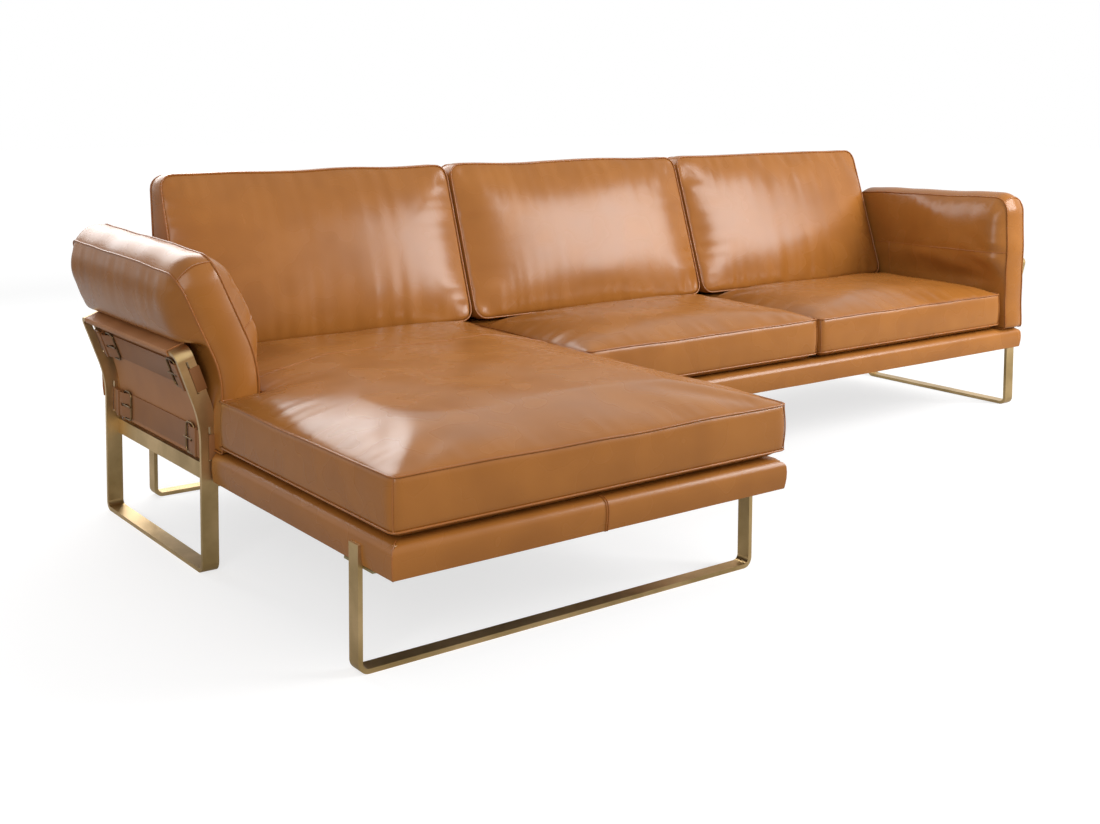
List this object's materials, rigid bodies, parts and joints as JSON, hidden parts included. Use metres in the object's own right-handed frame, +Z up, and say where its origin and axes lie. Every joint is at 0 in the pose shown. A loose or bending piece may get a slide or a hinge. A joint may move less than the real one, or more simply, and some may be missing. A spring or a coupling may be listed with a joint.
{
  "type": "corner sofa with chaise",
  "caption": "Leather corner sofa with a left chaise on bent flat-bar legs, loose seat and back cushions, and tilting arms on belted flared frames.",
  "frame": {"origin": "middle of the footprint on the floor", "axes": "+X along the sofa from the chaise to the right arm, +Y from the front to the back, +Z up"},
  "size_m": [3.1514, 1.5501, 0.878],
  "materials": {
    "leather": "waxed pull-up hide, tan",
    "belt_leather": "belt leather, tan",
    "antique_brass": "brushed antique brass plating on steel bar",
    "bronze_wire": "dark bronze, polished by use",
    "timber": "planed hardwood",
    "webbing": "woven elastic",
    "steel": "zinc plated"
  },
  "bodies": {
    "sofa": {"chaise_base_frame": "timber", "chaise_base_cover": "leather", "chaise_webbing": "webbing", "sofa_base_frame": "timber", "sofa_base_cover": "leather", "sofa_webbing": "webbing", "connector_plates": "steel", "chaise_back_frame": "timber", "chaise_back_cover": "leather", "sofa_back_frame": "timber", "sofa_back_cover": "leather", "front_sled": "antique_brass", "rear_sled": "antique_brass", "middle_sled": "antique_brass", "leg_plates": "steel", "leg_screws": "steel", "left_arm_frame": "antique_brass", "left_arm_cross_rail": "antique_brass", "left_arm_sling": "leather", "left_arm_upper_belt": "belt_leather", "left_arm_lower_belt": "belt_leather", "left_arm_belt_loops": "belt_leather", "left_arm_buckle_frames": "bronze_wire", "left_arm_keepers": "belt_leather", "left_arm_lower_pad": "leather", "left_arm_lower_bracket": "steel", "right_arm_frame": "antique_brass", "right_arm_cross_rail": "antique_brass", "right_arm_sling": "leather", "right_arm_upper_belt": "belt_leather", "right_arm_lower_belt": "belt_leather", "right_arm_belt_loops": "belt_leather", "right_arm_buckle_frames": "bronze_wire", "right_arm_keepers": "belt_leather", "right_arm_lower_pad": "leather", "right_arm_lower_bracket": "steel"},
    "left_arm_rest": {"left_arm_upper_pad": "leather", "left_arm_upper_bracket": "steel"},
    "left_arm_upper_front_tongue": {"left_arm_upper_front_prong": "bronze_wire"},
    "left_arm_upper_rear_tongue": {"left_arm_upper_rear_prong": "bronze_wire"},
    "left_arm_lower_front_tongue": {"left_arm_lower_front_prong": "bronze_wire"},
    "left_arm_lower_rear_tongue": {"left_arm_lower_rear_prong": "bronze_wire"},
    "right_arm_rest": {"right_arm_upper_pad": "leather", "right_arm_upper_bracket": "steel"},
    "right_arm_upper_front_tongue": {"right_arm_upper_front_prong": "bronze_wire"},
    "right_arm_upper_rear_tongue": {"right_arm_upper_rear_prong": "bronze_wire"},
    "right_arm_lower_front_tongue": {"right_arm_lower_front_prong": "bronze_wire"},
    "right_arm_lower_rear_tongue": {"right_arm_lower_rear_prong": "bronze_wire"},
    "chaise": {"chaise_cushion": "leather"},
    "middle_seat": {"middle_seat_cushion": "leather"},
    "right_seat": {"right_seat_cushion": "leather"},
    "left_back": {"left_back_cushion": "leather"},
    "middle_back": {"middle_back_cushion": "leather"},
    "right_back": {"right_back_cushion": "leather"}
  },
  "joints": [
    {"name": "left_arm_tilt", "type": "hinge", "parent": "sofa", "child": "left_arm_rest", "pos_m": [-1.42328, 0.34494, 0.48], "axis": [0, 1, 0], "range_deg": [0, 24.4]},
    {"name": "left_arm_upper_front_buckle", "type": "hinge", "parent": "sofa", "child": "left_arm_upper_front_tongue", "pos_m": [-1.51532, 0.12194, 0.45053], "axis": [-0.342, 0, 0.9397], "range_deg": [0, 70]},
    {"name": "left_arm_upper_rear_buckle", "type": "hinge", "parent": "sofa", "child": "left_arm_upper_rear_tongue", "pos_m": [-1.51532, 0.56794, 0.45053], "axis": [0.342, 0, -0.9397], "range_deg": [0, 70]},
    {"name": "left_arm_lower_front_buckle", "type": "hinge", "parent": "sofa", "child": "left_arm_lower_front_tongue", "pos_m": [-1.47978, 0.12194, 0.293], "axis": [0, 0, 1], "range_deg": [0, 70]},
    {"name": "left_arm_lower_rear_buckle", "type": "hinge", "parent": "sofa", "child": "left_arm_lower_rear_tongue", "pos_m": [-1.47978, 0.56794, 0.293], "axis": [0, 0, -1], "range_deg": [0, 70]},
    {"name": "right_arm_tilt", "type": "hinge", "parent": "sofa", "child": "right_arm_rest", "pos_m": [1.43472, 0.31494, 0.48], "axis": [0, 1, 0], "range_deg": [0, 24.4]},
    {"name": "right_arm_upper_front_buckle", "type": "hinge", "parent": "sofa", "child": "right_arm_upper_front_tongue", "pos_m": [1.52675, 0.09194, 0.45053], "axis": [-0.342, 0, -0.9397], "range_deg": [0, 70]},
    {"name": "right_arm_upper_rear_buckle", "type": "hinge", "parent": "sofa", "child": "right_arm_upper_rear_tongue", "pos_m": [1.52675, 0.53794, 0.45053], "axis": [0.342, 0, 0.9397], "range_deg": [0, 70]},
    {"name": "right_arm_lower_front_buckle", "type": "hinge", "parent": "sofa", "child": "right_arm_lower_front_tongue", "pos_m": [1.49122, 0.09194, 0.293], "axis": [0, 0, -1], "range_deg": [0, 70]},
    {"name": "right_arm_lower_rear_buckle", "type": "hinge", "parent": "sofa", "child": "right_arm_lower_rear_tongue", "pos_m": [1.49122, 0.53794, 0.293], "axis": [0, 0, 1], "range_deg": [0, 70]},
    {"name": "chaise_pull", "type": "slide", "parent": "sofa", "child": "chaise", "axis": [0, -1, 0], "range_m": [0, 0.4]},
    {"name": "middle_seat_pull", "type": "slide", "parent": "sofa", "child": "middle_seat", "axis": [0, -1, 0], "range_m": [0, 0.4]},
    {"name": "right_seat_pull", "type": "slide", "parent": "sofa", "child": "right_seat", "axis": [0, -1, 0], "range_m": [0, 0.4]},
    {"name": "left_back_lift", "type": "slide", "parent": "sofa", "child": "left_back", "axis": [0, 0, 1], "range_m": [0, 0.35]},
    {"name": "middle_back_lift", "type": "slide", "parent": "sofa", "child": "middle_back", "axis": [0, 0, 1], "range_m": [0, 0.35]},
    {"name": "right_back_lift", "type": "slide", "parent": "sofa", "child": "right_back", "axis": [0, 0, 1], "range_m": [0, 0.35]}
  ]
}
